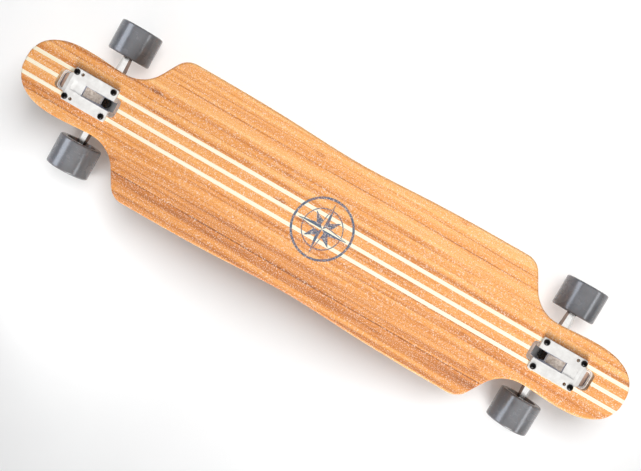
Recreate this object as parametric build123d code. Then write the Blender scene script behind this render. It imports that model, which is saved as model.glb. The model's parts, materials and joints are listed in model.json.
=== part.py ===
from build123d import *
import os
from math import asin, cos, degrees, pi, radians, sin

# Drop-through longboard skateboard with reverse-kingpin trucks.
# Frame: origin on the ground under the middle of the deck, +X to the front,
# +Y to the rider's left, +Z up. Millimetres.

# ---------------------------------------------------------------- driving sizes
MIRRORED = (-1, 1)

DECK_LENGTH = 1041.0
DECK_THICKNESS = 12.0
VENEER_THICKNESS = 1.6
WAIST_HALF = 112.6
BELLY = ((110, 116.8), (200, 119.3))      # the outline swells from waist to shoulder
SHOULDER_HALF = 119.7
SHOULDER_X = 284.8        # where the shoulder starts to turn in
SHOULDER_RADIUS = 30.8
NECK_HALF = 53.0
NECK_RADIUS = 58.0
DROP_ANGLE = 58.7         # slope of the drop between shoulder and neck
NOSE_HALF = 56.3
NOSE_X = 440.0            # widest place of the nose
NOSE_EXPONENT = 2.4       # superellipse that closes the nose
EDGE_RADIUS = 2.6
FLAT_HALF = 32.0          # flat strip along the middle of the deck
CONCAVE_RISE = 5.0        # how much the rails stand above the flat strip
STRIPE_PITCH = 20.0
STRIPE_WIDTH = 6.0
DECK_TOP = 99.0           # flat strip above the ground

WHEEL_RADIUS = 35.0
WHEEL_WIDTH = 51.0
WHEEL_LIP = 3.0
TYRE_BORE = 20.5
TYRE_BORE_HALF = 13.0
FACE_RADIUS = 24.5        # where the wheel's cone face starts

TRUCK_X = 406.5           # bolt pattern centre from the middle of the deck
BOLT_X = 31.75            # half of the 63.5 x 41.3 mm bolt pattern
BOLT_Y = 20.65
BOLT_PLACES = [(x * BOLT_X, y * BOLT_Y) for x in MIRRORED for y in MIRRORED]
SPARE_X = 21.95           # spare holes of the shorter bolt pattern
SPARE_PLACES = [(SPARE_X, y * BOLT_Y) for y in MIRRORED]
SPARE_RADIUS = 2.7
CUTOUT_INNER = -48.0      # cut-out ends, outward from the bolt pattern centre
CUTOUT_OUTER = 57.2
CUTOUT_HALF = 16.0
CUTOUT_CORNER = 7.5

BASE_ANGLE = 50.0         # steering axis above the deck plane
AXLE_X = -3.0             # axle from the bolt pattern centre, outward
AXLE_S = -21.0            # axle from the bushing seat, along the steering axis
AXLE_K = 6.0              # and along the kingpin

HANGER_HALF = 89.0
RING_RADIUS = 17.0        # ring of the hanger that holds the bushings
RING_SKIRT = 3.0          # how far the ring stands over its web
WEB_HALF = 3.5            # hanger web between the bushings
ARM_ROOT = 14.0
AXLE_RADIUS = 4.0
AXLE_STUB = 9.0           # axle outside the last washer

KINGPIN_RADIUS = 4.76
HEX_15 = 14.3             # across flats, kingpin head and nut
WEDGE_K = -20.5           # baseplate face under the boardside washer
HEAD_SEAT_K = -30.2
HEAD_HEIGHT = 7.0
SOCKET_HALF = 9.2         # counterbore for the head, half along the steering axis
SOCKET_RIM_K = -38.3
KINGPIN_END_K = 30.5
BUSHING_RADIUS = 12.4
BOARDSIDE_HEIGHT = 15.0
ROADSIDE_HEIGHT = 14.0
WASHER_THICKNESS = 2.0
KINGPIN_NUT_HEIGHT = 8.0

PLATE_THICKNESS = 6.0
PLATE_INNER = -38.5
PLATE_OUTER = 36.0
PLATE_HALF = 27.0
PLATE_CORNER = 2.5
LIP_END = 41.5            # sloping lip at the plate's outer end
BODY_HALF = 14.5          # part of the baseplate that fits through the cut-out
BODY_INNER = -37.5
BODY_OUTER = 34.0
BODY_BOTTOM = -15.0
COLLAR_START = 14.6       # collar that lines the outer end of the cut-out
COLLAR_END = 54.6
COLLAR_TOP = -8.5
COLLAR_FLOOR = -13.5
COLLAR_WALL = 2.4
COLLAR_CORNER = 6.5
POCKET_OUTER = 10.5       # deep pocket that leads to the kingpin head
POCKET_CREASE = (-10.5, -9.2)
POCKET_OUTER_Z = -2.0
SLOT_HALF = 8.4
SLOT_DRAFT = 1.7
RECESS_STEP = 24.1        # shallow recess outward of the deep pocket
RECESS_OUTER = 30.0
RECESS_DEPTH = 1.8

NOSE_MOUTH_S = -30.5      # mouth of the pivot cup, along the steering axis
NOSE_TIP_S = -40.5
NOSE_BASE_RADIUS = 6.6
CUP_RADIUS = 8.5
CUP_DEPTH = 12.0
PIVOT_GAP = 0.08

HUB_OUTER = 13.6          # wheel core
HUB_BORE = 9.2
CORE_SHELL = 17.8
SPOKES = 8
BEARING_OUTER = 11.0
BEARING_WIDTH = 7.0
BEARING_HALF = BEARING_WIDTH / 2
INNER_RING_RADIUS = 6.1
OUTER_RING_BORE = 8.9
SHIELD_THICKNESS = 0.4
BALL_RADIUS = 1.95
BALL_PITCH = 7.5
BALLS = 7
BEARING_OFFSET = 8.5      # bearing centre from the wheel's middle
HUB_HALF = BEARING_OFFSET + BEARING_HALF
SHELF_HALF = BEARING_OFFSET - BEARING_HALF
SPEED_WASHER = 1.0

SCREW_RADIUS = 2.4
SCREW_HEAD_RADIUS = 4.9
SCREW_HEAD_HEIGHT = 2.6
SCREW_REACH = 8.0         # screw below the deck
HOLE_PLAY = 0.3

WHEEL_X = TRUCK_X + AXLE_X
WHEEL_Y = HANGER_HALF + SPEED_WASHER + HUB_HALF
AXLE_END = WHEEL_Y + HUB_HALF + SPEED_WASHER + AXLE_STUB

# The truck frame: origin on the deck's top face at the bolt pattern centre, x outward.
# The steering frame: origin at the bushing seat, x along the steering axis (outward and
# up), z along the kingpin (outward and down).
STEER_DIR = (cos(radians(BASE_ANGLE)), 0, sin(radians(BASE_ANGLE)))
PIN_DIR = (sin(radians(BASE_ANGLE)), 0, -cos(radians(BASE_ANGLE)))
SEAT_X = AXLE_X - AXLE_S * STEER_DIR[0] - AXLE_K * PIN_DIR[0]
SEAT_Z = WHEEL_RADIUS - DECK_TOP - AXLE_S * STEER_DIR[2] - AXLE_K * PIN_DIR[2]
STEER_PLANE = Plane(origin=(SEAT_X, 0, SEAT_Z), x_dir=STEER_DIR, z_dir=PIN_DIR)
TRUCKS = {
    "front": Location((TRUCK_X, 0, DECK_TOP)),
    "rear": Location((-TRUCK_X, 0, DECK_TOP), (0, 0, 180)),
}


def in_truck(s, k):
    """Truck-frame (x, z) of a point given along the steering axis and the kingpin."""
    return (
        SEAT_X + s * STEER_DIR[0] + k * PIN_DIR[0],
        SEAT_Z + s * STEER_DIR[2] + k * PIN_DIR[2],
    )


def from_steering(part):
    """Move a part from the steering frame to the truck frame."""
    return STEER_PLANE.location * part


def on_axle(part):
    """Move a part built about the Y axis to the axle line, in the truck frame."""
    x, z = in_truck(AXLE_S, AXLE_K)
    return Pos(x, 0, z) * part


# ---------------------------------------------------------------- small helpers
def side_prism(points, half_width):
    """Prism of an XZ outline, centred on Y = 0."""
    return extrude(make_face(Plane.XZ * Polyline(*points, close=True)), half_width, both=True)


def rod(radius, low, high):
    """Cylinder along Z from low to high."""
    upright = (Align.CENTER, Align.CENTER, Align.MIN)
    return Pos(0, 0, low) * Cylinder(radius, high - low, align=upright)


def tube(outer, inner, low, high):
    """Ring along Z from low to high."""
    return rod(outer, low, high) - rod(inner, low - 1, high + 1)


def along_y(part):
    """Turn a part built about Z so that it lies along Y, its top towards +Y."""
    return Rot(-90, 0, 0) * part


def both_sides(part):
    """A part on the +Y side and its mirror image on the -Y side."""
    return [part, mirror(part, Plane.XZ)]


def top_edge(part):
    """The highest edge of a part built about Z."""
    return part.edges().sort_by(Axis.Z)[-1]


def hexagon(flats, low, high):
    """Hexagonal prism along Z with chamfered corners, two flats facing +Y and -Y."""
    outline = RegularPolygon(flats / 2, 6, major_radius=False, rotation=30)
    prism = extrude(Pos(0, 0, low) * outline, high - low)
    corner = flats / 2 / cos(pi / 6)
    round_stock = rod(corner, low, high)
    round_stock = chamfer(round_stock.edges(), min(0.9, corner - flats / 2))
    return prism & round_stock


def lock_nut(flats, bore, low, height):
    """Hex nut along Z with a round nylon collar at its far end."""
    hex_height = height * 0.72
    nut = hexagon(flats, low, low + hex_height)
    nylon = rod(flats / 2 - 0.4, low + hex_height, low + height)
    nylon = chamfer(top_edge(nylon), 0.5)
    return nut + nylon - rod(bore, low - 1, low + height + 1)


def turned(points):
    """Solid of revolution about Z from (radius, z) points."""
    return revolve(make_face(Plane.XZ * Polyline(*points, close=True)), Axis.Z)


def group(parts):
    """One node made of several separate solids."""
    return Compound(children=[solid for part in parts for solid in part.solids()])


# ---------------------------------------------------------------- deck
def nose_point(t):
    """Point of the nose superellipse, t from 0 at its widest place to 1 at the tip."""
    angle = t * pi / 2
    reach = DECK_LENGTH / 2 - NOSE_X
    return (
        NOSE_X + reach * sin(angle) ** (2 / NOSE_EXPONENT),
        NOSE_HALF * cos(angle) ** (2 / NOSE_EXPONENT),
    )


def quarter_outline():
    """Deck outline from the waist to the nose tip, in the +X +Y quarter."""
    turn = radians(DROP_ANGLE)
    fall = SHOULDER_HALF - NECK_HALF - (1 - cos(turn)) * (SHOULDER_RADIUS + NECK_RADIUS)
    along = (1, 0)
    waist = Spline(
        (0, WAIST_HALF), *BELLY, (SHOULDER_X, SHOULDER_HALF), tangents=(along, along)
    )
    shoulder = JernArc((SHOULDER_X, SHOULDER_HALF), along, SHOULDER_RADIUS, -DROP_ANGLE)
    drop = Line(shoulder @ 1, shoulder @ 1 + (shoulder % 1) * (fall / sin(turn)))
    neck = JernArc(drop @ 1, drop % 1, NECK_RADIUS, DROP_ANGLE)
    swell = Spline(neck @ 1, (NOSE_X, NOSE_HALF), tangents=(along, along))
    nose_points = [nose_point(t) for t in (0, 0.3, 0.5, 0.7, 0.85)]
    nose = Spline(*nose_points, (DECK_LENGTH / 2, 0), tangents=(along, (0, -1)))
    return [waist, shoulder, drop, neck, swell, nose]


def deck_outline():
    """Whole deck outline as one face."""
    quarter = Curve() + quarter_outline()
    half = quarter + mirror(quarter, Plane.YZ)
    return make_face(half + mirror(half, Plane.XZ))


def deck_layer(depth_low, depth_high):
    """Concave sheet of the deck's section, between two depths under its top face."""
    run = SHOULDER_HALF - FLAT_HALF
    radius = (run ** 2 + CONCAVE_RISE ** 2) / (2 * CONCAVE_RISE)
    wing_angle = degrees(asin((run + 6) / radius))
    edges = []
    for depth in (depth_low, depth_high):
        edges.append(Line((-FLAT_HALF, -depth), (FLAT_HALF, -depth)))
        edges.append(JernArc((FLAT_HALF, -depth), (1, 0), radius, wing_angle))
        edges.append(JernArc((-FLAT_HALF, -depth), (-1, 0), radius, -wing_angle))
    for wing in (1, 2):
        edges.append(Line(edges[wing] @ 1, edges[wing + 3] @ 1))
    section = make_face(Plane.YZ * (Curve() + edges))
    return extrude(section, DECK_LENGTH / 2 + 5, both=True)


def rounded_blank():
    """Deck blank with its outline, concave and rounded edges, top of the flat at Z = 0."""
    blank = extrude(deck_outline(), 20, both=True) & deck_layer(0, DECK_THICKNESS)
    walls = [face for face in blank.faces() if abs(face.normal_at().Z) < 0.5]
    rims = [edge for face in walls for edge in face.edges() if abs(edge.tangent_at(0.5).Z) < 0.5]
    return fillet(rims, EDGE_RADIUS)


def truck_cutter():
    """Cut-out, bolt holes and spare holes of one truck, in the truck frame."""
    length = CUTOUT_OUTER - CUTOUT_INNER
    window = RectangleRounded(length, 2 * CUTOUT_HALF, CUTOUT_CORNER)
    cutter = extrude(Pos((CUTOUT_OUTER + CUTOUT_INNER) / 2, 0) * window, 20, both=True)
    for x, y in BOLT_PLACES:
        cutter += Pos(x, y, 0) * Cylinder(SCREW_RADIUS + HOLE_PLAY, 40)
    for x, y in SPARE_PLACES:
        cutter += Pos(x, y, 0) * Cylinder(SPARE_RADIUS, 40)
    return cutter


def make_deck():
    """The laminated deck: core, two veneers and the stripes let into the top veneer."""
    blank = rounded_blank()
    cutter = truck_cutter()
    for place in TRUCKS.values():
        blank -= Pos(0, 0, -DECK_TOP) * place * cutter
    stripes = Part()
    for index in (-1, 0, 1):
        stripes += Pos(0, index * STRIPE_PITCH, 0) * Box(DECK_LENGTH + 10, STRIPE_WIDTH, 40)
    core_bottom = DECK_THICKNESS - VENEER_THICKNESS
    top = blank & deck_layer(-1, VENEER_THICKNESS)
    layers = {
        "deck_stripes": top & stripes,
        "deck_top_veneer": top - stripes,
        "deck_core": blank & deck_layer(VENEER_THICKNESS, core_bottom),
        "deck_bottom_veneer": blank & deck_layer(core_bottom, DECK_THICKNESS + 1),
    }
    return {name: Pos(0, 0, DECK_TOP) * layer for name, layer in layers.items()}


# ---------------------------------------------------------------- truck, fixed pieces
def make_plate():
    """Flange on the deck, with the lip that slopes down over the collar."""
    length = PLATE_OUTER - PLATE_INNER
    flange = RectangleRounded(length, 2 * PLATE_HALF, PLATE_CORNER)
    plate = extrude(Pos((PLATE_INNER + PLATE_OUTER) / 2, 0) * flange, PLATE_THICKNESS)
    plate = chamfer(plate.faces().sort_by(Axis.Z)[-1].edges(), 0.6)
    corners = [(30, 19), (PLATE_OUTER, 17.5), (LIP_END, 13)]
    opposite = [(x, -y) for x, y in reversed(corners)]
    lip = extrude(make_face(Polyline(*corners, *opposite, close=True)), PLATE_THICKNESS)
    slope = [(30, 0), (30, 6), (34.5, 6), (LIP_END, 3.6), (LIP_END, 0)]
    return plate + (lip & side_prism(slope, PLATE_HALF))


def make_collar():
    """Open tray that lines the outer end of the cut-out."""
    length = COLLAR_END - COLLAR_START
    middle = (COLLAR_END + COLLAR_START) / 2
    outside = RectangleRounded(length, 2 * BODY_HALF, COLLAR_CORNER)
    inside = RectangleRounded(
        length - 2 * COLLAR_WALL, 2 * (BODY_HALF - COLLAR_WALL), COLLAR_CORNER - COLLAR_WALL
    )
    collar = extrude(Pos(middle, 0, BODY_BOTTOM) * outside, COLLAR_TOP - BODY_BOTTOM)
    collar -= extrude(Pos(middle, 0, COLLAR_FLOOR) * inside, 20)
    rim = collar.edges().filter_by_position(Axis.Z, COLLAR_TOP, COLLAR_TOP)
    return fillet(rim, 0.8)


def make_body():
    """Wedge under the kingpin head and housing of the pivot cup, one side profile."""
    wedge_top_s = (BODY_BOTTOM - in_truck(0, WEDGE_K)[1]) / STEER_DIR[2]
    profile = [
        (BODY_OUTER, 1),
        (BODY_OUTER, BODY_BOTTOM),
        in_truck(wedge_top_s, WEDGE_K),
        in_truck(-25, WEDGE_K),
        in_truck(NOSE_MOUTH_S, -11.5),
        in_truck(NOSE_MOUTH_S, 10.5),
        in_truck(-41, 10.5),
        in_truck(-45, 6.5),
        in_truck(-45, -7),
        in_truck(-38, -16.5),
        (BODY_INNER, -42),
        (BODY_INNER, 1),
    ]
    body = side_prism(profile, BODY_HALF)
    corners = body.edges().filter_by(Axis.Y)
    return fillet([edge for edge in corners if edge.center().Z < BODY_BOTTOM - 1], 3.0)


def pocket_cutter():
    """Deep drafted pocket, counterbore of the kingpin head and shallow recess."""
    floor = [
        (POCKET_OUTER, 10),
        (POCKET_OUTER, POCKET_OUTER_Z),
        POCKET_CREASE,
        in_truck(SOCKET_HALF + 2.4, SOCKET_RIM_K + 1.3),
        in_truck(SOCKET_HALF + 2.4, SOCKET_RIM_K),
        in_truck(SOCKET_HALF, SOCKET_RIM_K),
        in_truck(SOCKET_HALF, HEAD_SEAT_K),
        in_truck(-SOCKET_HALF, HEAD_SEAT_K),
        in_truck(-SOCKET_HALF, -60),
        (-60, 10),
    ]
    top_half = SLOT_HALF + 0.4
    low_half = SLOT_HALF - SLOT_DRAFT
    side = [(top_half, 7), (top_half, 6), (low_half, -9), (low_half, -60)]
    opposite = [(-y, z) for y, z in reversed(side)]
    drafted = extrude(make_face(Plane.YZ * Polyline(*side, *opposite, close=True)), 70, both=True)
    cutter = side_prism(floor, SLOT_HALF + 2) & drafted
    socket = Box(2 * SOCKET_HALF, 2 * SLOT_HALF, 40)
    cutter += from_steering(Pos(0, 0, HEAD_SEAT_K - 20) * socket)
    recess_z = PLATE_THICKNESS - RECESS_DEPTH
    recess = [
        (POCKET_OUTER - 1, 7),
        (POCKET_OUTER - 1, recess_z),
        (RECESS_STEP, recess_z),
        (RECESS_OUTER, recess_z + 1.2),
        (RECESS_OUTER, 7),
    ]
    return cutter + side_prism(recess, SLOT_HALF - 0.3)


def make_baseplate():
    """Cast baseplate: flange on the deck, collar, wedge and pivot housing below it."""
    casting = make_plate() + make_collar() + make_body() - pocket_cutter()
    casting -= from_steering(rod(KINGPIN_RADIUS, -60, 0))
    cup_low = -NOSE_MOUTH_S
    casting -= from_steering(Rot(0, -90, 0) * rod(CUP_RADIUS, cup_low - 5, cup_low + CUP_DEPTH))
    for x, y in BOLT_PLACES:
        casting -= Pos(x, y, 0) * Cylinder(SCREW_RADIUS + HOLE_PLAY, 40)
    for x, y in SPARE_PLACES:
        casting -= Pos(x, y, 0) * Cylinder(SPARE_RADIUS, 40)
    return casting


def nose_profile(gap):
    """Pivot nose as (radius, distance from the seat) points, grown by a gap."""
    tip = -NOSE_TIP_S + gap
    mouth = -NOSE_MOUTH_S
    return [
        (NOSE_BASE_RADIUS + gap, mouth),
        (5.2 + gap, mouth + 5.5),
        (4.6 + gap, tip - 2.4),
        (2.6 + gap, tip),
        (0, tip),
    ]


def make_pivot_cup():
    """Urethane cup in the housing; its inside is the hanger's nose plus a running gap."""
    mouth = -NOSE_MOUTH_S
    hollow = [(0, mouth - 1), (NOSE_BASE_RADIUS + PIVOT_GAP, mouth - 1)] + nose_profile(PIVOT_GAP)
    cup = rod(CUP_RADIUS, mouth, mouth + CUP_DEPTH) - turned(hollow)
    return from_steering(Rot(0, -90, 0) * cup)


def make_kingpin():
    """Hex-headed bolt through the wedge and the hanger."""
    shank = rod(KINGPIN_RADIUS, HEAD_SEAT_K, KINGPIN_END_K)
    shank = chamfer(top_edge(shank), 1.0)
    return from_steering(shank + hexagon(HEX_15, HEAD_SEAT_K - HEAD_HEIGHT, HEAD_SEAT_K))


def make_kingpin_nut():
    """Lock nut under the roadside washer."""
    low = WEB_HALF + ROADSIDE_HEIGHT + WASHER_THICKNESS
    return from_steering(lock_nut(HEX_15, KINGPIN_RADIUS, low, KINGPIN_NUT_HEIGHT))


def make_boardside_washer():
    """Flat washer between the wedge and the barrel bushing."""
    washer = tube(BUSHING_RADIUS + 0.6, KINGPIN_RADIUS, WEDGE_K, WEDGE_K + WASHER_THICKNESS)
    return from_steering(chamfer(washer.edges(), 0.4))


def make_roadside_washer():
    """Smaller washer between the cone bushing and the kingpin nut."""
    low = WEB_HALF + ROADSIDE_HEIGHT
    washer = tube(10.6, KINGPIN_RADIUS, low, low + WASHER_THICKNESS)
    return from_steering(chamfer(washer.edges(), 0.4))


def make_boardside_bushing():
    """Barrel bushing between the boardside washer and the hanger web."""
    bore = KINGPIN_RADIUS + 0.1
    top = -WEB_HALF - BOARDSIDE_HEIGHT
    barrel = turned([
        (bore, -WEB_HALF), (BUSHING_RADIUS - 0.6, -WEB_HALF), (BUSHING_RADIUS, -WEB_HALF - 0.8),
        (BUSHING_RADIUS, top + 0.8), (BUSHING_RADIUS - 0.6, top), (bore, top),
    ])
    return from_steering(barrel)


def make_roadside_bushing():
    """Cone bushing between the hanger web and the roadside washer."""
    bore = KINGPIN_RADIUS + 0.1
    base = WEB_HALF + ROADSIDE_HEIGHT
    cone = turned([
        (bore, WEB_HALF), (BUSHING_RADIUS - 0.6, WEB_HALF), (BUSHING_RADIUS, WEB_HALF + 0.8),
        (BUSHING_RADIUS, WEB_HALF + 4), (10.0, base - 0.8), (9.4, base), (bore, base),
    ])
    return from_steering(cone)


def make_deck_screws():
    """Four button-head screws with hex sockets."""
    head = rod(SCREW_HEAD_RADIUS, PLATE_THICKNESS, PLATE_THICKNESS + SCREW_HEAD_HEIGHT)
    head = fillet(top_edge(head), 1.9)
    key = RegularPolygon(1.6, 6, major_radius=False)
    head -= extrude(Pos(0, 0, PLATE_THICKNESS + 0.8) * key, 4)
    screw = head + rod(SCREW_RADIUS, -DECK_THICKNESS - SCREW_REACH, PLATE_THICKNESS)
    return group([Pos(x, y, 0) * screw for x, y in BOLT_PLACES])


def make_deck_nuts():
    """Four lock nuts under the deck."""
    nut = Rot(180, 0, 0) * lock_nut(9.5, SCREW_RADIUS, DECK_THICKNESS, 5.2)
    return group([Pos(x, y, 0) * nut for x, y in BOLT_PLACES])


# ---------------------------------------------------------------- truck, steering pieces
def arm_section(y, s, k, radius):
    """Hexagonal section of a hanger arm, with one corner straight up."""
    plane = Plane(origin=(s, y, k), x_dir=(1, 0, 0), z_dir=(0, 1, 0))
    return plane * RegularPolygon(radius, 6, rotation=90 + BASE_ANGLE)


def make_arm(side):
    """Tapering arm of the hanger on one side, with the turned end round the axle."""
    stations = [
        (ARM_ROOT, AXLE_S + 1, AXLE_K - 1, 11.6),
        (53, AXLE_S, AXLE_K, 9.3),
        (HANGER_HALF - 12, AXLE_S, AXLE_K, 7.5),
        (HANGER_HALF - 3, AXLE_S, AXLE_K, 7.2),
    ]
    arm = loft([arm_section(side * y, s, k, radius) for y, s, k, radius in stations], ruled=True)
    end = along_y(rod(6.4, side * HANGER_HALF - 2 - side * 2, side * HANGER_HALF + 2 - side * 2))
    return arm + Pos(AXLE_S, 0, AXLE_K) * end


def make_hanger():
    """Cast hanger: bushing ring, ribbed body, two tapering arms and the pivot nose."""
    ring = rod(RING_RADIUS, -WEB_HALF - RING_SKIRT, WEB_HALF + RING_SKIRT)
    body = fillet(ring.edges(), 1.2)
    for side in MIRRORED:
        body += make_arm(side)
    body += extrude(arm_section(-ARM_ROOT, AXLE_S + 1, AXLE_K - 1, 11.6), 2 * ARM_ROOT)
    half_web = [(9, 14), (-13, 47), (-25, 47), (-28.5, 16)]
    opposite = [(s, -y) for s, y in reversed(half_web)]
    body += Pos(0, 0, -3) * extrude(make_face(Polyline(*half_web, *opposite, close=True)), 9)
    body -= Pos(NOSE_MOUTH_S + 1.2 - 20, 0, 0) * Box(40, 60, 80)
    mouth = -NOSE_MOUTH_S
    root = [(0, mouth - 8), (9, mouth - 8), (9, mouth - 1.2), (NOSE_BASE_RADIUS, mouth - 0.2)]
    body += Rot(0, -90, 0) * turned(root + nose_profile(0))
    for side in MIRRORED:
        body -= Pos(0, 0, side * (WEB_HALF + 10)) * Cylinder(BUSHING_RADIUS + 0.6, 20)
    body -= Cylinder(8.5, 40)
    body -= Pos(AXLE_S, 0, AXLE_K) * along_y(rod(AXLE_RADIUS, -100, 100))
    return from_steering(body)


def make_axle():
    """Steel axle through the hanger."""
    bar = along_y(rod(AXLE_RADIUS, -AXLE_END, AXLE_END))
    return on_axle(chamfer(bar.edges(), 0.8))


def make_axle_nuts():
    """Lock nut at each end of the axle."""
    nut = along_y(lock_nut(12.7, AXLE_RADIUS, WHEEL_Y + HUB_HALF + SPEED_WASHER, 7))
    return group([on_axle(part) for part in both_sides(nut)])


def make_speed_washers():
    """Thin washer on each side of each wheel."""
    washers = []
    for low in (WHEEL_Y - HUB_HALF - SPEED_WASHER, WHEEL_Y + HUB_HALF):
        washers += both_sides(along_y(tube(5.6, AXLE_RADIUS, low, low + SPEED_WASHER)))
    return group([on_axle(part) for part in washers])


def make_bearing_spacers():
    """Sleeve between the two bearings of each wheel."""
    spacer = along_y(tube(5.0, AXLE_RADIUS, WHEEL_Y - SHELF_HALF, WHEEL_Y + SHELF_HALF))
    return group([on_axle(part) for part in both_sides(spacer)])


def ball_race():
    """Torus that cuts the ball grooves of a bearing about Z."""
    return Torus(BALL_PITCH, BALL_RADIUS + 0.1)


def make_inner_rings():
    """Inner rings of the eight bearing seats of one axle, two per wheel."""
    ring = along_y(tube(INNER_RING_RADIUS, AXLE_RADIUS, -BEARING_HALF, BEARING_HALF) - ball_race())
    rings = []
    for side in MIRRORED:
        rings += both_sides(Pos(0, WHEEL_Y + side * BEARING_OFFSET, 0) * ring)
    return group([on_axle(part) for part in rings])


# ---------------------------------------------------------------- wheel, about its own centre
def make_tyre():
    """Urethane tyre: flat tread, rounded lips, coned faces."""
    half = WHEEL_WIDTH / 2
    side = [(TYRE_BORE, TYRE_BORE_HALF), (FACE_RADIUS, half), (WHEEL_RADIUS, half)]
    opposite = [(radius, -z) for radius, z in reversed(side)]
    tyre = turned(side + opposite)
    circles = [edge for edge in tyre.edges() if edge.geom_type == GeomType.CIRCLE]
    return along_y(fillet([edge for edge in circles if edge.radius > FACE_RADIUS + 1], WHEEL_LIP))


def make_core():
    """Core with a ribbed hub that seats the two bearings."""
    shell = tube(TYRE_BORE, CORE_SHELL, -TYRE_BORE_HALF, TYRE_BORE_HALF)
    core = shell + tube(HUB_OUTER, HUB_BORE, -HUB_HALF, HUB_HALF) + tube(18.5, 12, -1.5, 1.5)
    for spoke in range(SPOKES):
        core += Rot(0, 0, 360 / SPOKES * spoke) * Pos(15.7, 0, 0) * Box(5.4, 2.6, 20)
    for side in MIRRORED:
        core -= Pos(0, 0, side * (SHELF_HALF + 10)) * Cylinder(BEARING_OUTER, 20)
    return along_y(core)


def make_outer_rings():
    """Outer rings of the wheel's two bearings."""
    ring = tube(BEARING_OUTER, OUTER_RING_BORE, -BEARING_HALF, BEARING_HALF) - ball_race()
    return group([along_y(Pos(0, 0, side * BEARING_OFFSET) * ring) for side in MIRRORED])


def make_shields():
    """Two thin shields in each bearing, held by the outer ring."""
    shields = []
    for side in MIRRORED:
        for face in MIRRORED:
            middle = side * BEARING_OFFSET + face * (BEARING_HALF - SHIELD_THICKNESS)
            low = middle - SHIELD_THICKNESS / 2
            shield = tube(OUTER_RING_BORE, INNER_RING_RADIUS + 0.3, low, low + SHIELD_THICKNESS)
            shields.append(along_y(shield))
    return group(shields)


def make_balls():
    """Seven balls in each bearing."""
    balls = []
    for side in MIRRORED:
        for index in range(BALLS):
            place = Rot(0, 0, 360 / BALLS * index) * Pos(BALL_PITCH, 0, side * BEARING_OFFSET)
            balls.append(along_y(place * Sphere(BALL_RADIUS)))
    return group(balls)


def make_cages():
    """One thin cage in each bearing, with a pocket for every ball."""
    cage = tube(BALL_PITCH + 0.5, BALL_PITCH - 0.5, -2.5, 2.5)
    pocket = Pos(BALL_PITCH, 0, 0) * Rot(0, 90, 0) * Cylinder(BALL_RADIUS + 0.05, 4)
    for index in range(BALLS):
        cage -= Rot(0, 0, 360 / BALLS * index) * pocket
    return group([along_y(Pos(0, 0, side * BEARING_OFFSET) * cage) for side in MIRRORED])


# ---------------------------------------------------------------- whole board
def make_truck():
    """Every piece of one truck, in the truck frame."""
    return {
        "baseplate": make_baseplate(),
        "pivot_cup": make_pivot_cup(),
        "kingpin": make_kingpin(),
        "kingpin_nut": make_kingpin_nut(),
        "boardside_washer": make_boardside_washer(),
        "roadside_washer": make_roadside_washer(),
        "boardside_bushing": make_boardside_bushing(),
        "roadside_bushing": make_roadside_bushing(),
        "deck_screws": make_deck_screws(),
        "deck_nuts": make_deck_nuts(),
        "hanger": make_hanger(),
        "axle": make_axle(),
        "axle_nuts": make_axle_nuts(),
        "speed_washers": make_speed_washers(),
        "bearing_spacers": make_bearing_spacers(),
        "bearing_inner_rings": make_inner_rings(),
    }


def make_wheel():
    """Every piece of one wheel that turns, about the wheel's centre."""
    return {
        "tyre": make_tyre(),
        "core": make_core(),
        "bearing_outer_rings": make_outer_rings(),
        "bearing_shields": make_shields(),
        "bearing_balls": make_balls(),
        "bearing_cages": make_cages(),
    }


def wheel_places():
    """Wheel centres by name."""
    places = {}
    for end, way in (("front", 1), ("rear", -1)):
        for hand, side in (("left", 1), ("right", -1)):
            places[f"{end}_{hand}"] = Location((way * WHEEL_X, side * WHEEL_Y, WHEEL_RADIUS))
    return places


def make_board():
    """Every node of the board by name, in the board's frame."""
    nodes = make_deck()
    truck = make_truck()
    for end, place in TRUCKS.items():
        for name, piece in truck.items():
            nodes[f"{end}_{name}"] = place * piece
    wheel = make_wheel()
    for corner, place in wheel_places().items():
        for name, piece in wheel.items():
            nodes[f"{corner}_{name}"] = place * piece
    return nodes


os.makedirs("parts", exist_ok=True)
for node, shape in make_board().items():
    export_step(shape, f"parts/{node}.step")
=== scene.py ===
import json
from math import cos, pi, radians, sin

import bmesh
import bpy
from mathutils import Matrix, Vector


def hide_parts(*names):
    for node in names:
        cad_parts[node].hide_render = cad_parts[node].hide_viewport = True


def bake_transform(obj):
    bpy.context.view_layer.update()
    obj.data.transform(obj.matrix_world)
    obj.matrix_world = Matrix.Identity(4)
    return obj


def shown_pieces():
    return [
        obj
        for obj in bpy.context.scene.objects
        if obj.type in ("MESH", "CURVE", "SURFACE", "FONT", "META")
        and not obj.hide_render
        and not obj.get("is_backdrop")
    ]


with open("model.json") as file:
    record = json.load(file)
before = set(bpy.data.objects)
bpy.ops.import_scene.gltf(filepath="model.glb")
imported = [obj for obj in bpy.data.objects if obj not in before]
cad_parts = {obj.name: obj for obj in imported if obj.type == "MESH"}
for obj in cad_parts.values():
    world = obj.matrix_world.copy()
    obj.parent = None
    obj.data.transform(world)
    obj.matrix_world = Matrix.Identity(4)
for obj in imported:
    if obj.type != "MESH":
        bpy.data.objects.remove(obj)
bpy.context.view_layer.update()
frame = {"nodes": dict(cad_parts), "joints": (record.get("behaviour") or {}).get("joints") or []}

# Looks of a drop-through longboard: bamboo deck with three pale stripes and a
# printed roundel, cast trucks and grey wheels. Metres, +X front, +Y left, +Z up.

# ---------------------------------------------------------------- driving values
DECK_TOP = 0.099
DECK_THICKNESS = 0.012
VENEER = 0.0016
FLAT_HALF = 0.032             # flat strip along the middle of the deck
RAIL_HALF = 0.1197            # where the concave ends
CONCAVE_RISE = 0.005
STRIP_WIDTH = 0.020           # one bamboo strip
NODE_SPACING = 0.31           # between the joints of a bamboo strip
PLY = (DECK_THICKNESS - 2 * VENEER) / 5

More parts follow.
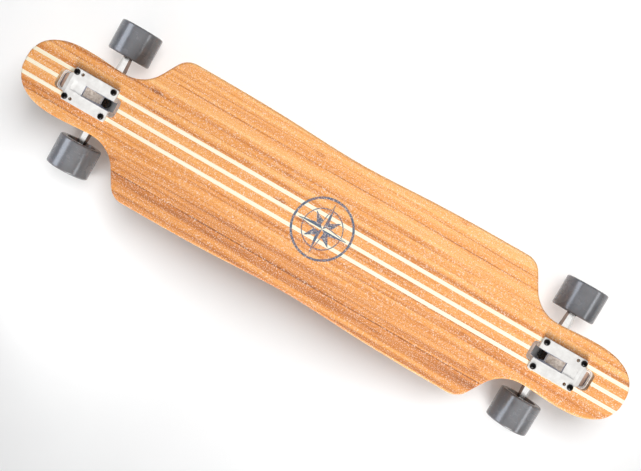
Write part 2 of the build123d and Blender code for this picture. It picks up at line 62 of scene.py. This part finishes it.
EMBLEM_X = 0.0
EMBLEM_Y = -0.001
EMBLEM_RADIUS = 0.0493
EMBLEM_LINE = 0.0037
INNER_RING = 0.0315           # middle of the thin ring
INNER_LINE = 0.0016
LONG_POINT = 0.0425
SHORT_POINT = 0.0300
OPEN_POINT = 0.0385           # the half of a long point that is left open
EMBLEM_BLUR = 0.0002

TRUCK_X = 0.4065              # middle of a bolt pattern
BOLT_X = 0.03175
BOLT_Y = 0.02065
HEAD_RADIUS = 0.0052          # deck screw
PLATE_TOP = DECK_TOP + 0.006
SLOT_HALF = 0.0084            # long pocket of the baseplate
POCKET_DEPTH = 0.030          # under the deck top
HEAD_EDGE = -0.0340           # end of the kingpin head, outward from the truck's middle
RIDGE = -0.016                # ridge across the pocket's floor, left out of the painted shade
TRAY_EDGE = 0.0345            # where the tray of the collar begins
TRAY_DEPTH = 0.0090           # under the deck top
TRAY_FLOOR = 0.0146

BUSHING_RADIUS = 0.0124
BUSHING_BORE = 0.0049
WEB_HALF = 0.0035             # hanger web between the two bushings
BARREL_HEIGHT = 0.015
CONE_HEIGHT = 0.014
CONE_RADIUS = 0.0094

CAMERA_PLACE = (0.0272, 0.0725, 1.3721)
CAMERA_TURN = (-2.683, 2.819, 29.883)
CAMERA_LENS = 47.55

ENDS = ("front", "rear")


def srgb(red, green, blue):
    """Linear colour of an 8-bit sRGB one."""
    parts = [value / 255 for value in (red, green, blue)]
    linear = [part / 12.92 if part <= 0.04045 else ((part + 0.055) / 1.055) ** 2.4 for part in parts]
    return (*linear, 1.0)


# ---------------------------------------------------------------- node builder
class Paint:
    """Builds one material. Its calls take numbers or sockets and return sockets."""

    def __init__(self, name):
        self.material = bpy.data.materials.new(name)
        self.material.use_nodes = True
        self.tree = self.material.node_tree
        self.shader = self.tree.nodes["Principled BSDF"]
        self.place = self.node("ShaderNodeTexCoord").outputs["Object"]
        split = self.node("ShaderNodeSeparateXYZ", {0: self.place})
        self.x, self.y, self.z = split.outputs

    def node(self, kind, inputs=None, **settings):
        made = self.tree.nodes.new(kind)
        for key, value in settings.items():
            setattr(made, key, value)
        for key, value in (inputs or {}).items():
            self.feed(made.inputs[key], value)
        return made

    def feed(self, socket, value):
        if isinstance(value, bpy.types.NodeSocket):
            self.tree.links.new(value, socket)
        else:
            socket.default_value = value

    def calc(self, operation, *values, clamp=False):
        made = self.node("ShaderNodeMath", dict(enumerate(values)), operation=operation, use_clamp=clamp)
        return made.outputs[0]

    def add(self, *values):
        total = values[0]
        for value in values[1:]:
            total = self.calc("ADD", total, value)
        return total

    def times(self, *values):
        total = values[0]
        for value in values[1:]:
            total = self.calc("MULTIPLY", total, value)
        return total

    def minus(self, a, b):
        return self.calc("SUBTRACT", a, b)

    def swing(self, value, amount):
        """A 0..1 value as a change of up to half the amount each way."""
        return self.calc("MULTIPLY_ADD", value, amount, -amount / 2)

    def fade(self, value, start, end, low=0.0, high=1.0):
        """Smooth step of a value, from low at start to high at end."""
        ends = {"From Min": start, "From Max": end, "To Min": low, "To Max": high}
        made = self.node("ShaderNodeMapRange", {"Value": value, **ends}, interpolation_type="SMOOTHSTEP")
        return made.outputs[0]

    def bell(self, value, width):
        """1 where the value is 0, falling to 0 at that width either side."""
        return self.fade(self.calc("ABSOLUTE", value), 0.0, width, 1.0, 0.0)

    def vector(self, x, y, z=0.0):
        return self.node("ShaderNodeCombineXYZ", {0: x, 1: y, 2: z}).outputs[0]

    def facing(self, axis):
        """How far the surface faces along the x, y or z axis (0, 1 or 2), from -1 to 1."""
        normal = self.node("ShaderNodeTexCoord").outputs["Normal"]
        return self.node("ShaderNodeSeparateXYZ", {0: normal}).outputs[axis]

    def stretched(self, x, y, z, place=None):
        factors = {0: place or self.place, 1: (x, y, z)}
        return self.node("ShaderNodeVectorMath", factors, operation="MULTIPLY").outputs[0]

    def noise(self, scale, detail=2.0, roughness=0.5, place=None):
        """Noise of 0..1; scale is one number or one for each axis, per metre."""
        if isinstance(scale, tuple):
            place, scale = self.stretched(*scale, place), 1.0
        inputs = {"Vector": place or self.place, "Scale": scale, "Detail": detail, "Roughness": roughness}
        return self.node("ShaderNodeTexNoise", inputs).outputs[0]

    def chance(self, number, second=0.0):
        """Random 0..1 for each pair of whole numbers."""
        inputs = {"Vector": self.vector(number, second)}
        return self.node("ShaderNodeTexWhiteNoise", inputs, noise_dimensions="2D").outputs[0]

    def mix(self, factor, a, b, blend="MIX"):
        made = self.node("ShaderNodeMix", {0: factor, 6: a, 7: b}, data_type="RGBA", blend_type=blend)
        return made.outputs[2]

    def ramp(self, value, *stops):
        """Colour ramp through (position, colour) stops."""
        made = self.node("ShaderNodeValToRGB", {0: value})
        line = made.color_ramp.elements
        for position, colour in stops[1:-1]:
            line.new(position).color = colour
        line[0].position, line[0].color = stops[0]
        line[-1].position, line[-1].color = stops[-1]
        return made.outputs[0]

    def bump(self, height, distance, strength=1.0):
        """Surface height of 0..1, with its full depth in metres."""
        inputs = {"Height": height, "Distance": distance, "Strength": strength}
        if self.shader.inputs["Normal"].is_linked:
            inputs["Normal"] = self.shader.inputs["Normal"].links[0].from_socket
        self.feed(self.shader.inputs["Normal"], self.node("ShaderNodeBump", inputs).outputs[0])

    def finish(self, colour, roughness, metallic=0.0, **others):
        names = {"Base Color": colour, "Roughness": roughness, "Metallic": metallic}
        names.update({key.replace("_", " "): value for key, value in others.items()})
        for name, value in names.items():
            self.feed(self.shader.inputs[name], value)
        return self.material


# ---------------------------------------------------------------- wood
BANDS = [
    # place across the deck, half width, how much darker: the board's own strips
    (-0.0842, 0.0018, 0.50),
    (-0.0900, 0.0110, 0.20),
    (-0.0690, 0.0110, -0.08),
    (0.0258, 0.0060, 0.30),
    (0.0650, 0.0110, -0.14),
    (0.0800, 0.0030, 0.24),
    (0.0965, 0.0022, 0.24),
    (0.0530, 0.0022, 0.20),
    (-0.0390, 0.0028, 0.16),
    (-0.0310, 0.0030, 0.12),
    (0.0395, 0.0016, 0.12),
    (-0.1125, 0.0050, 0.12),
]


def bamboo_tone(paint, seams):
    """Tone of the strips: 0 is the darkest brown, 1 the palest tan."""
    drift = paint.swing(paint.noise((3.0, 1.0, 0.0), 1.0), 0.003)
    y = paint.add(paint.y, drift)
    across = paint.calc("DIVIDE", y, STRIP_WIDTH)
    strip = paint.calc("FLOOR", across)
    strip_chance = paint.chance(strip)

    # broad tone of each strip, streaks along it, fine fibres
    shifted = paint.vector(paint.x, y, paint.times(strip, 0.37))
    slow = paint.noise((2.4, 0.0, 11.0), 1.0, 0.5, shifted)
    streak = paint.noise((2.6, 130.0, 9.0), 4.0, 0.62, shifted)
    thread = paint.noise((11.0, 760.0, 5.0), 2.0, 0.6, shifted)
    tone = paint.add(
        0.5,
        paint.swing(strip_chance, 0.15),
        paint.swing(slow, 0.42),
        paint.swing(streak, 1.2),
        paint.swing(thread, 0.34),
        # painted light: the tone rises towards +Y, so the left rail is paler and the right rail darker
        paint.times(paint.y, 1.2),
    )

    # a joint in the bamboo now and then, as a small brown smudge
    along = paint.add(paint.calc("DIVIDE", paint.x, NODE_SPACING), paint.times(strip_chance, 7.0))
    cell = paint.calc("FLOOR", along)
    from_joint = paint.minus(paint.minus(along, cell), paint.fade(paint.chance(cell, strip), 0, 1, 0.2, 0.8))
    middle = paint.fade(paint.chance(strip, cell), 0, 1, 0.25, 0.75)
    off_middle = paint.minus(paint.minus(across, strip), middle)
    ragged = paint.noise((160.0, 420.0, 0.0), 3.0, 0.6)
    length = paint.calc("DIVIDE", paint.times(from_joint, NODE_SPACING), 0.014)
    width = paint.calc("DIVIDE", paint.times(off_middle, STRIP_WIDTH), 0.0042)
    reach = paint.calc("SQRT", paint.add(paint.calc("POWER", length, 2.0), paint.calc("POWER", width, 2.0)))
    joint = paint.fade(paint.add(reach, paint.swing(ragged, 1.6)), 0.15, 1.1, 1.0, 0.0)
    tone = paint.minus(tone, paint.times(joint, paint.fade(paint.chance(cell, strip), 0.2, 1.0, 0.04, 0.34)))

    # the glue line between two strips, and the strips that are darker all along
    edge = paint.calc("ROUND", across)
    seam = paint.bell(paint.minus(across, edge), 0.05)
    tone = paint.minus(tone, paint.times(seam, paint.chance(edge, 3.0), 0.22))
    if seams:
        along_seam = paint.fade(paint.noise((7.0, 40.0, 0.0), 3.0, 0.65), 0.25, 0.75, 0.35, 1.35)
        for place, half_width, strength in BANDS:
            band = paint.bell(paint.minus(y, place), half_width)
            tone = paint.minus(tone, paint.times(band, along_seam, strength))
    return tone


WOOD = [
    (0.0, srgb(146, 80, 32)),
    (0.26, srgb(202, 123, 52)),
    (0.5, srgb(236, 160, 82)),
    (0.72, srgb(247, 182, 106)),
    (1.0, srgb(254, 214, 150)),
]


def grit(paint, colour, strength):
    """Clear grip coat: crushed glass that sparkles white, with brown gaps between."""
    grain = paint.noise(620.0, 1.0, 0.5)
    gap = paint.noise(720.0, 1.0, 0.5)
    light = paint.times(paint.fade(grain, 0.50, 0.78), strength)
    dark = paint.times(paint.fade(gap, 0.48, 0.26), strength * 0.85)
    colour = paint.mix(light, colour, srgb(255, 240, 224))
    colour = paint.mix(dark, colour, srgb(208, 112, 42))
    paint.bump(paint.noise(900.0, 2.0, 0.6), 0.00022, 0.6)
    return colour, paint.fade(grain, 0.3, 0.8, 0.62, 0.38)


def star(paint, radius, angle, points, tip, waist, turn):
    """Inside of a star of straight-edged points, as a 0..1 mask."""
    sector = 2 * pi / points
    folded = paint.calc("PINGPONG", paint.add(angle, turn + 4 * pi), sector / 2)  # never negative
    slope = (1 / waist - cos(sector / 2) / tip) / sin(sector / 2)
    edge = paint.add(
        paint.times(paint.calc("COSINE", folded), 1 / tip), paint.times(paint.calc("SINE", folded), slope)
    )
    return paint.fade(paint.times(radius, edge), 0.99, 1.01, 1.0, 0.0)


def emblem_mask(paint):
    """Printed roundel: a ring round a plain compass star, half of each long point left open."""
    dx = paint.minus(paint.x, EMBLEM_X)
    dy = paint.minus(paint.y, EMBLEM_Y)
    radius = paint.calc("SQRT", paint.add(paint.times(dx, dx), paint.times(dy, dy)))
    angle = paint.calc("ARCTAN2", dy, dx)

    def ring(middle, line):
        off = paint.calc("ABSOLUTE", paint.minus(radius, middle))
        return paint.fade(off, line / 2 - EMBLEM_BLUR, line / 2 + EMBLEM_BLUR, 1.0, 0.0)

    outer = ring(EMBLEM_RADIUS - EMBLEM_LINE / 2, EMBLEM_LINE)
    inner = ring(INNER_RING, INNER_LINE)
    short = star(paint, radius, angle, 4, SHORT_POINT, 0.0095, pi / 4)
    long = star(paint, radius, angle, 4, LONG_POINT, 0.0092, 0.0)
    open_side = paint.calc("WRAP", angle, pi / 4, -pi / 4)
    open_half = paint.fade(open_side, -0.004, 0.004)
    slim = star(paint, radius, angle, 4, OPEN_POINT, 0.0070, 0.0)
    open_part = paint.times(open_half, slim)
    solid = paint.calc("MAXIMUM", paint.times(short, paint.minus(1.0, long)), paint.minus(long, open_part))
    inner = paint.times(inner, paint.minus(1.0, long))
    return paint.calc("MAXIMUM", outer, paint.calc("MAXIMUM", inner, solid))


def printed(paint, colour):
    """Slate-blue print over a deck colour, worn thin here and there."""
    wear = paint.fade(paint.noise(420.0, 2.0, 0.7), 0.30, 0.42, 0.55, 1.0)
    ink = paint.mix(paint.noise(300.0, 2.0), srgb(58, 84, 112), srgb(84, 106, 130))
    return paint.mix(paint.times(emblem_mask(paint), wear), colour, ink)


def bamboo_top():
    paint = Paint("bamboo_top")
    tone = bamboo_tone(paint, seams=True)
    colour = printed(paint, paint.ramp(tone, *WOOD))
    colour, roughness = grit(paint, colour, 0.8)
    paint.bump(tone, 0.0001, 0.5)
    return paint.finish(colour, roughness, Coat_Weight=0.12, Coat_Roughness=0.35)


def pale_inlay():
    paint = Paint("pale_inlay")
    tone = paint.noise((5.0, 700.0, 0.0), 3.0, 0.6)
    maple = paint.ramp(
        tone, (0.25, srgb(247, 233, 200)), (0.6, srgb(254, 248, 226)), (0.9, srgb(255, 252, 238)),
    )
    colour = printed(paint, maple)
    colour, roughness = grit(paint, colour, 0.12)
    return paint.finish(colour, roughness, Coat_Weight=0.12, Coat_Roughness=0.35)


def bamboo_bottom():
    paint = Paint("bamboo_bottom")
    tone = bamboo_tone(paint, seams=False)
    colour = paint.ramp(tone, *WOOD)
    paint.bump(tone, 0.0001, 0.5)
    roughness = paint.fade(paint.noise(60.0, 3.0), 0.3, 0.7, 0.24, 0.34)
    return paint.finish(colour, roughness, Coat_Weight=0.5, Coat_Roughness=0.12)


def maple_core():
    """Glued plies: the depth under the concave top face gives the ply."""
    paint = Paint("maple_core")
    run = RAIL_HALF - FLAT_HALF
    radius = (run ** 2 + CONCAVE_RISE ** 2) / (2 * CONCAVE_RISE)
    beyond = paint.calc("MAXIMUM", paint.minus(paint.calc("ABSOLUTE", paint.y), FLAT_HALF), 0.0)
    lift = paint.minus(radius, paint.calc("SQRT", paint.minus(radius ** 2, paint.times(beyond, beyond))))
    depth = paint.minus(paint.minus(paint.add(lift, DECK_TOP), paint.z), VENEER)
    place = paint.calc("DIVIDE", depth, PLY)
    ply = paint.calc("FLOOR", place)
    cross = paint.calc("MODULO", paint.add(ply, 10.0), 2.0)
    wood = paint.ramp(
        paint.noise((420.0, 420.0, 60.0), 3.0, 0.6),
        (0.2, srgb(226, 190, 138)), (0.6, srgb(243, 214, 168)), (0.9, srgb(250, 228, 190)),
    )
    end_grain = paint.ramp(
        paint.noise(900.0, 2.0, 0.6),
        (0.2, srgb(176, 126, 78)), (0.6, srgb(206, 160, 110)), (0.9, srgb(222, 180, 132)),
    )
    colour = paint.mix(cross, wood, end_grain)
    glue = paint.bell(paint.minus(place, paint.calc("ROUND", place)), 0.09)
    colour = paint.mix(paint.times(glue, 0.55), colour, srgb(120, 76, 42))
    paint.bump(paint.add(paint.noise(500.0, 3.0, 0.6), paint.times(glue, -0.5)), 0.0001, 0.5)
    roughness = paint.fade(paint.noise(200.0, 2.0), 0.3, 0.7, 0.42, 0.55)
    return paint.finish(colour, roughness, Coat_Weight=0.15, Coat_Roughness=0.3)


# ---------------------------------------------------------------- metal
def cast_baseplate():
    """Tumbled aluminium casting: pale faces, with painted shade in its pockets and a painted reflection in
    the collar's tray.
    """
    paint = Paint("cast_baseplate")
    cloud = paint.noise(90.0, 4.0, 0.6)
    skin = paint.ramp(
        cloud, (0.25, srgb(198, 196, 194)), (0.55, srgb(213, 212, 210)), (0.85, srgb(226, 226, 225)),
    )
    # colour of the painted shade on the pocket floors, mottled
    shade_mottle = paint.fade(paint.noise(240.0, 3.0, 0.6), 0.3, 0.7)
    pocket_shade = paint.ramp(shade_mottle, (0.0, srgb(164, 148, 134)), (1.0, srgb(208, 196, 184)))
    outward = paint.minus(paint.calc("ABSOLUTE", paint.x), TRUCK_X)
    level = paint.fade(paint.facing(2), 0.5, 0.8)
    steep = paint.minus(1.0, level)

    # the long pocket: painted shade, blue-grey on the walls and brown on the floor but not on a ridge across
    # it; painted light makes the walls past the kingpin head near white
    in_slot = paint.fade(paint.calc("ABSOLUTE", paint.y), SLOT_HALF + 0.0010, SLOT_HALF + 0.0004)
    pocket_floor = DECK_TOP - POCKET_DEPTH
    in_housing = paint.times(in_slot, paint.fade(paint.z, pocket_floor - 0.004, pocket_floor))
    under_face = paint.fade(paint.z, PLATE_TOP - 0.0004, PLATE_TOP - 0.0012)
    behind_head = paint.fade(outward, HEAD_EDGE, HEAD_EDGE - 0.0015)
    # painted shade on the pocket walls in blue-grey, and painted light past the kingpin head in near white
    wall_shade_and_light = paint.mix(behind_head, srgb(160, 168, 190), srgb(250, 250, 252))
    colour = paint.mix(paint.times(in_housing, under_face, steep, 0.75), skin, wall_shade_and_light)
    # painted shade: the pocket floor below the deck top turns brown, except on the ridge and next to the
    # kingpin head
    deep = paint.fade(paint.z, DECK_TOP - 0.0004, DECK_TOP - 0.0018)
    ridge = paint.bell(paint.minus(outward, RIDGE), 0.0015)
    left_unshaded = paint.calc("MAXIMUM", ridge, paint.fade(outward, -0.0225, -0.0245))
    colour = paint.mix(paint.times(in_housing, deep, level, paint.minus(1.0, left_unshaded)), colour, pocket_shade)

    # the tray of the collar, seen through the outer end of the cut-out: its floor gets painted shade and a
    # painted reflection of the wood walls, in brown
    tray_top = DECK_TOP - TRAY_DEPTH
    tray_floor = DECK_TOP - TRAY_FLOOR
    past_edge = paint.fade(outward, TRAY_EDGE, TRAY_EDGE + 0.0015)
    in_tray = paint.times(past_edge, paint.fade(paint.z, tray_top, tray_top - 0.0015))
    above_floor = paint.fade(paint.z, tray_floor, tray_floor + 0.0006)
    colour = paint.mix(paint.times(in_tray, above_floor, level), colour, srgb(196, 164, 144))
    paint.bump(paint.noise(1100.0, 2.0, 0.6), 0.00006, 0.5)
    paint.bump(paint.noise(160.0, 2.0), 0.0002, 0.4)
    roughness = paint.fade(paint.noise(300.0, 3.0), 0.3, 0.7, 0.36, 0.52)
    return paint.finish(colour, roughness, 0.35)


def cast_hanger():
    """Polished aluminium casting with faint file marks, and painted shade on its facets that face the
    board's middle.
    """
    paint = Paint("cast_hanger")
    cloud = paint.noise(70.0, 4.0, 0.6)
    colour = paint.ramp(
        cloud, (0.25, srgb(186, 184, 181)), (0.6, srgb(206, 205, 203)), (0.9, srgb(222, 222, 221)),
    )
    # painted shade and a painted reflection of the deck's brown underside, on the facets facing the board's
    # middle
    inward_shade = paint.times(paint.calc("SIGN", paint.x), paint.facing(0), -1.0)
    colour = paint.mix(paint.fade(inward_shade, 0.45, 0.75, 0.0, 0.8), colour, srgb(112, 92, 80))
    marks = paint.noise((1400.0, 60.0, 1400.0), 2.0, 0.6)
    paint.bump(marks, 0.00004, 0.5)
    paint.bump(paint.noise(140.0, 2.0), 0.00025, 0.4)
    roughness = paint.fade(cloud, 0.3, 0.7, 0.14, 0.28)
    return paint.finish(colour, roughness, 1.0)


def black_steel():
    paint = Paint("black_steel")
    cloud = paint.noise(500.0, 3.0, 0.6)
    colour = paint.ramp(cloud, (0.3, srgb(3, 3, 4)), (0.7, srgb(7, 7, 8)), (0.95, srgb(20, 20, 20)))
    paint.bump(paint.noise(1800.0, 2.0), 0.00002, 0.4)

    # the heads of the deck screws are slightly domed
    dx = paint.minus(paint.calc("ABSOLUTE", paint.minus(paint.calc("ABSOLUTE", paint.x), TRUCK_X)), BOLT_X)
    dy = paint.minus(paint.calc("ABSOLUTE", paint.y), BOLT_Y)
    square = paint.add(paint.times(dx, dx), paint.times(dy, dy))
    dome = paint.calc("MAXIMUM", paint.minus(1.0, paint.calc("DIVIDE", square, HEAD_RADIUS ** 2)), 0.0)
    paint.bump(paint.times(dome, paint.fade(paint.z, DECK_TOP, PLATE_TOP)), 0.0022)
    roughness = paint.fade(cloud, 0.3, 0.7, 0.20, 0.34)
    return paint.finish(colour, roughness, Specular_IOR_Level=0.4)


def zinc_steel():
    paint = Paint("zinc_steel")
    cloud = paint.noise(350.0, 3.0, 0.6)
    colour = paint.ramp(
        cloud, (0.3, srgb(186, 188, 190)), (0.7, srgb(214, 215, 214)), (0.9, srgb(226, 224, 214)),
    )
    paint.bump(paint.noise(1500.0, 2.0), 0.00003, 0.6)
    roughness = paint.fade(cloud, 0.3, 0.7, 0.22, 0.38)
    return paint.finish(colour, roughness, 1.0)


def bearing_steel():
    paint = Paint("bearing_steel")
    cloud = paint.noise(600.0, 2.0, 0.5)
    colour = paint.ramp(cloud, (0.3, srgb(204, 206, 210)), (0.7, srgb(232, 233, 235)))
    lines = paint.noise((300.0, 5000.0, 300.0), 1.0)
    paint.bump(lines, 0.00001, 0.5)
    roughness = paint.fade(cloud, 0.3, 0.7, 0.08, 0.18)
    return paint.finish(colour, roughness, 1.0)


# ---------------------------------------------------------------- plastic and urethane
def black_shield():
    paint = Paint("black_shield")
    cloud = paint.noise(900.0, 2.0)
    colour = paint.ramp(cloud, (0.3, srgb(18, 18, 19)), (0.8, srgb(38, 37, 36)))
    paint.bump(paint.noise(2600.0, 2.0), 0.00003, 0.6)
    return paint.finish(colour, paint.fade(cloud, 0.3, 0.7, 0.42, 0.6))


def cage_plastic():
    paint = Paint("cage_plastic")
    cloud = paint.noise(500.0, 2.0)
    colour = paint.ramp(cloud, (0.3, srgb(214, 206, 184)), (0.8, srgb(232, 226, 208)))
    paint.bump(paint.noise(2400.0, 2.0), 0.00002, 0.5)
    roughness = paint.fade(cloud, 0.3, 0.7, 0.35, 0.5)
    return paint.finish(colour, roughness, Subsurface_Weight=0.15)


def black_core():
    """Moulded nylon with a fine spark-eroded skin and a little dust."""
    paint = Paint("black_core")
    cloud = paint.noise(220.0, 3.0, 0.6)
    colour = paint.ramp(cloud, (0.3, srgb(17, 17, 18)), (0.65, srgb(30, 30, 31)), (0.95, srgb(62, 59, 55)))
    paint.bump(paint.noise(2200.0, 2.0, 0.6), 0.00006, 0.7)
    return paint.finish(colour, paint.fade(cloud, 0.3, 0.7, 0.38, 0.6))


def grey_urethane():
    """Poured urethane: glossy, faint turning lines round the tread, light scuffs."""
    paint = Paint("grey_urethane")
    cloud = paint.noise(28.0, 3.0, 0.55)
    colour = paint.ramp(
        cloud, (0.25, srgb(82, 81, 82)), (0.55, srgb(93, 93, 95)), (0.85, srgb(106, 106, 109)),
    )
    scuff = paint.fade(paint.noise((90.0, 900.0, 90.0), 4.0, 0.7), 0.60, 0.78)
    colour = paint.mix(paint.times(scuff, 0.28), colour, srgb(176, 174, 172))
    lines = paint.noise((40.0, 2600.0, 40.0), 2.0, 0.6)
    paint.bump(lines, 0.00003, 0.35)
    paint.bump(paint.noise(55.0, 2.0), 0.0005, 0.15)
    roughness = paint.add(paint.fade(cloud, 0.3, 0.7, 0.20, 0.29), paint.times(scuff, 0.25))
    return paint.finish(colour, roughness, Coat_Weight=0.3, Coat_Roughness=0.16, Subsurface_Weight=0.04)


def black_urethane():
    paint = Paint("black_urethane")
    cloud = paint.noise(160.0, 3.0, 0.6)
    colour = paint.ramp(cloud, (0.3, srgb(24, 24, 26)), (0.8, srgb(46, 45, 46)))
    paint.bump(paint.noise(1300.0, 2.0), 0.00005, 0.5)
    return paint.finish(colour, paint.fade(cloud, 0.3, 0.7, 0.28, 0.42), Coat_Weight=0.15)


FINISHES = {
    maker.__name__: maker()
    for maker in (
        bamboo_top, pale_inlay, maple_core, bamboo_bottom, cast_baseplate, cast_hanger, black_steel,
        zinc_steel, bearing_steel, black_shield, cage_plastic, black_core, grey_urethane, black_urethane,
    )
}
for node in frame["nodes"].values():
    for holder in node.material_slots:
        holder.material = FINISHES[holder.material.name]


# ---------------------------------------------------------------- bushings
def lathe(name, profile, origin, axis, steps=64):
    """Ring-shaped mesh turned about an axis from a closed (radius, height) profile."""
    turn = axis.to_track_quat("Z", "Y")
    mesh = bmesh.new()
    rings = []
    for step in range(steps):
        angle = 2 * pi * step / steps
        spoke = Vector((cos(angle), sin(angle), 0))
        rings.append([mesh.verts.new(origin + turn @ (spoke * r + Vector((0, 0, h)))) for r, h in profile])
    for ring, following in zip(rings, rings[1:] + rings[:1]):
        for index in range(len(profile)):
            past = (index + 1) % len(profile)
            mesh.faces.new((ring[index], following[index], following[past], ring[past]))
    bmesh.ops.recalc_face_normals(mesh, faces=mesh.faces)
    data = bpy.data.meshes.new(name)
    mesh.to_mesh(data)
    mesh.free()
    data.shade_smooth()
    piece = bpy.data.objects.new(name, data)
    bpy.context.scene.collection.objects.link(piece)
    return piece


def bushing_profile(low, high, low_radius, high_radius, bulge, rim=0.0008, steps=18):
    """Section of a urethane bushing: a bore, two flat ends with round rims and a bulged side."""
    height = high - low
    points = [(BUSHING_BORE, low), (low_radius - 2 * rim, low), (low_radius - rim, low)]
    for step in range(steps + 1):
        share = step / steps
        radius = low_radius + (high_radius - low_radius) * share
        side = low + rim + (height - 2 * rim) * share
        points.append((radius + bulge * sin(pi * share) - bulge, side))
    points += [(high_radius - rim, high), (high_radius - 2 * rim, high), (BUSHING_BORE, high)]
    inner = [(BUSHING_BORE, high - height * step / 6) for step in range(1, 6)]
    return points + inner


def add_bushings():
    """Barrel and cone bushing of each truck, between the deck side and the hanger."""
    for end in ENDS:
        joint = next(j for j in frame["joints"] if j["name"] == f"{end}_steer")
        seat = Vector(joint["pos_m"])
        steer = Vector(joint["axis"]).normalized()
        pin = Vector((steer.z, 0, -steer.x)) if steer.x > 0 else Vector((-steer.z, 0, steer.x))
        low, high = -WEB_HALF - BARREL_HEIGHT, -WEB_HALF
        barrel = lathe(
            f"{end}_boardside_bushing_skin",
            bushing_profile(low, high, BUSHING_RADIUS, BUSHING_RADIUS, 0.0006), seat, pin,
        )
        dress(barrel, f"{end}_boardside_bushing")
        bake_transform(barrel)
        low, high = WEB_HALF, WEB_HALF + CONE_HEIGHT
        cone = lathe(
            f"{end}_roadside_bushing_skin",
            bushing_profile(low, high, BUSHING_RADIUS, CONE_RADIUS, 0.0003), seat, pin,
        )
        dress(cone, f"{end}_roadside_bushing")
        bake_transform(cone)


def dress(piece, node):
    """Give a new piece its finish and let it stand for a CAD node."""
    piece.data.materials.append(FINISHES["black_urethane"])
    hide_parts(node)


add_bushings()


# ---------------------------------------------------------------- studio
def lit_group(name, members):
    """Collection for a lamp: what it lights, or what shades it."""
    group = bpy.data.collections.new(name)
    for member in members:
        group.objects.link(member)
    return group


def add_floor():
    mesh = bpy.data.meshes.new("floor")
    half = 12.0
    corners = [(-half, -half, 0), (half, -half, 0), (half, half, 0), (-half, half, 0)]
    mesh.from_pydata(corners, [], [(0, 1, 2, 3)])
    floor = bpy.data.objects.new("floor", mesh)
    bpy.context.scene.collection.objects.link(floor)
    paint = Paint("floor_paper")
    colour = paint.ramp(paint.noise(6.0, 3.0), (0.3, (0.86, 0.86, 0.86, 1)), (0.7, (0.88, 0.88, 0.88, 1)))
    mesh.materials.append(paint.finish(colour, 0.9, Specular_IOR_Level=0.0))
    floor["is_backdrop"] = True
    return floor


def add_softbox(name, lights, place, width, depth, power, colour=(1, 1, 1), shade=None):
    """Rectangular area light, facing the board, that lights one group and isn't seen."""
    data = bpy.data.lights.new(name, "AREA")
    data.shape = "RECTANGLE"
    data.size, data.size_y = width, depth
    data.energy = power
    data.color = colour
    lamp = bpy.data.objects.new(name, data)
    lamp.location = place
    lamp.rotation_euler = (Vector((0, 0, DECK_TOP)) - Vector(place)).to_track_quat("-Z", "Y").to_euler()
    lamp.visible_camera = False
    lamp.light_linking.receiver_collection = lights
    lamp.light_linking.blocker_collection = shade
    bpy.context.scene.collection.objects.link(lamp)


def add_world():
    world = bpy.data.worlds.new("studio")
    world.use_nodes = True
    background = world.node_tree.nodes["Background"]
    background.inputs["Color"].default_value = (0.98, 0.99, 1.0, 1.0)
    background.inputs["Strength"].default_value = 0.24
    bpy.context.scene.world = world


def add_camera():
    data = bpy.data.cameras.new("camera")
    data.lens = CAMERA_LENS
    camera = bpy.data.objects.new("camera", data)
    camera.location = CAMERA_PLACE
    camera.rotation_euler = [radians(angle) for angle in CAMERA_TURN]
    bpy.context.scene.collection.objects.link(camera)
    bpy.context.scene.camera = camera


floor = add_floor()
add_world()

# pieces by how they take the light
wheels = [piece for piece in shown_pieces() if piece.name.endswith(("_tyre", "left_core", "right_core"))]
decks = [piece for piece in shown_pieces() if piece.name.startswith("deck_")]
plates = [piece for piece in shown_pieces() if piece.name.endswith("_baseplate")]
polished = [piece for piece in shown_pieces() if piece not in wheels + decks + plates]
darks = [piece for piece in polished if piece.name.endswith(("_deck_screws", "_kingpin"))]
on_board = lit_group("on_board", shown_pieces())
on_pale = lit_group("on_pale", [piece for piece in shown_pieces() if piece not in darks])
on_plates = lit_group("on_plates", plates)
on_wheels = lit_group("on_wheels", wheels)
on_metal = lit_group("on_metal", [piece for piece in polished if piece not in darks])
on_floor = lit_group("on_floor", [floor])
on_deck = lit_group("on_deck", decks)
deck_shade = lit_group("deck_shade", decks)

# soft light on the whole board, and a low strip for its left rail
add_softbox("overhead", on_pale, (0.3, 0.2, 2.6), 3.0, 3.0, 25)
add_softbox("side", on_board, (0.75, -1.95, 1.45), 1.2, 1.2, 79, (1.0, 0.98, 0.95))
add_softbox("rail", on_deck, (0.0, 2.2, 0.14), 1.6, 0.12, 14, shade=deck_shade)

# fills for the plates, bright strips mirrored in the metal and in the wheels
add_softbox("plate_fill", on_plates, (-0.5, -0.2, 1.5), 1.0, 1.0, 4)
add_softbox("lip_rear", on_plates, (-1.9, 0.0, 1.5), 1.5, 1.2, 6)
add_softbox("lip_front", on_plates, (1.9, 0.0, 1.5), 1.5, 1.2, 4)
add_softbox("strip_rear", on_metal, (-2.6, 0.0, 1.5), 3.0, 1.2, 44, (0.80, 0.87, 1.0))
add_softbox("strip_front", on_metal, (2.5, 0.0, 1.68), 3.0, 0.3, 14, (0.90, 0.94, 1.0))
add_softbox("metal_top", on_metal, (0.0, 0.0, 2.4), 4.0, 2.0, 14)
add_softbox("wheel_strip_rear", on_wheels, (-2.6, 0.0, 1.9), 3.0, 1.5, 92, (0.80, 0.87, 1.0))
add_softbox("wheel_strip_front", on_wheels, (2.5, 0.0, 1.58), 3.0, 0.6, 36, (0.90, 0.94, 1.0))

# the floor: two lamps in one place, of which one is shaded by the deck only, and a fill at each end
add_softbox("floor_key", on_floor, (0.25, 1.35, 2.4), 2.0, 2.3, 62, shade=deck_shade)
add_softbox("floor_soft", on_floor, (0.25, 1.35, 2.4), 2.0, 2.3, 33)
add_softbox("floor_front", on_floor, (0.45, -0.30, 0.22), 0.2, 0.2, 0.8)
add_softbox("floor_rear", on_floor, (-0.45, -0.30, 0.22), 0.2, 0.2, 0.55)

add_camera()
bpy.context.scene.view_settings.view_transform = "Standard"
